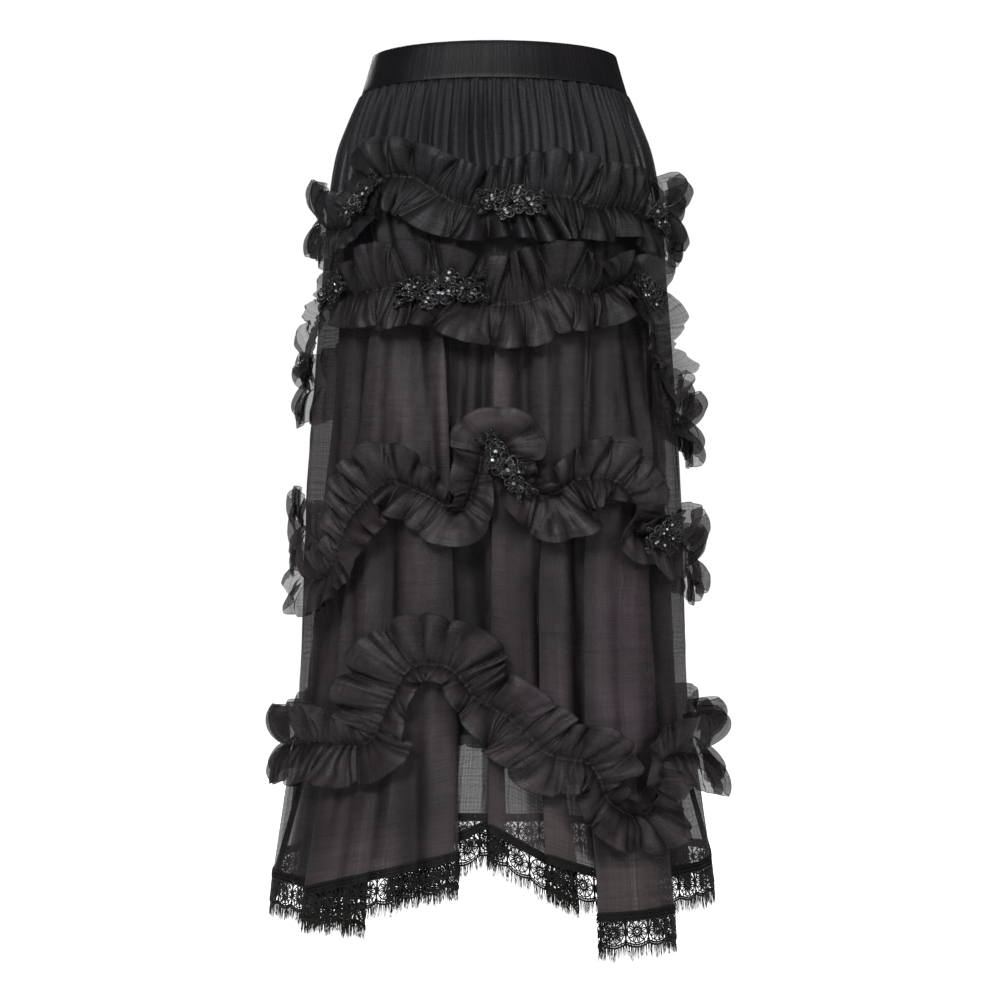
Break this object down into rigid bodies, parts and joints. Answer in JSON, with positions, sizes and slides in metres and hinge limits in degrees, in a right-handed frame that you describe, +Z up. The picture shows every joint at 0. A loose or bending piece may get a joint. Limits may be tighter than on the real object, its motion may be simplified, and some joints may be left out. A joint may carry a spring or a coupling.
{
  "type": "tiered skirt",
  "caption": "Long gathered skirt with a firm waistband, a sheer overskirt folded into laps over a shorter lining, winding ruffles, and a lace and fringe hem.",
  "frame": {"origin": "middle of the ring that the waistband makes, half way up it", "axes": "+Z up the wearer, -Y out of the front of the skirt, +X towards the wearer's left"},
  "size_m": [0.4963, 0.4072, 0.9097],
  "materials": {
    "waistband": "firm black cloth, faint sheen",
    "overskirt": "sheer black organza with a fine check",
    "lining": "matt black lining cloth",
    "ruffle": "sheer black organza, crumpled",
    "lace": "black corded lace",
    "fringe": "short black threads",
    "applique": "black corded lace with beads"
  },
  "bodies": {
    "root": {"waistband_front": "waistband", "overskirt_front": "overskirt", "lining_front": "lining", "lace_front": "lace", "fringe_front": "fringe", "ruffle_1_front": "ruffle", "ruffle_2_front": "ruffle", "ruffle_3_front": "ruffle", "ruffle_4_front": "ruffle", "waistband_back": "waistband", "overskirt_back": "overskirt", "lining_back": "lining", "lace_back": "lace", "fringe_back": "fringe", "ruffle_1_back": "ruffle", "ruffle_2_back": "ruffle", "ruffle_3_back": "ruffle", "ruffle_4_back": "ruffle", "applique_1": "applique", "applique_2": "applique", "applique_3": "applique", "applique_4": "applique", "applique_5": "applique", "applique_6": "applique", "applique_7": "applique", "applique_8": "applique"}
  },
  "joints": []
}
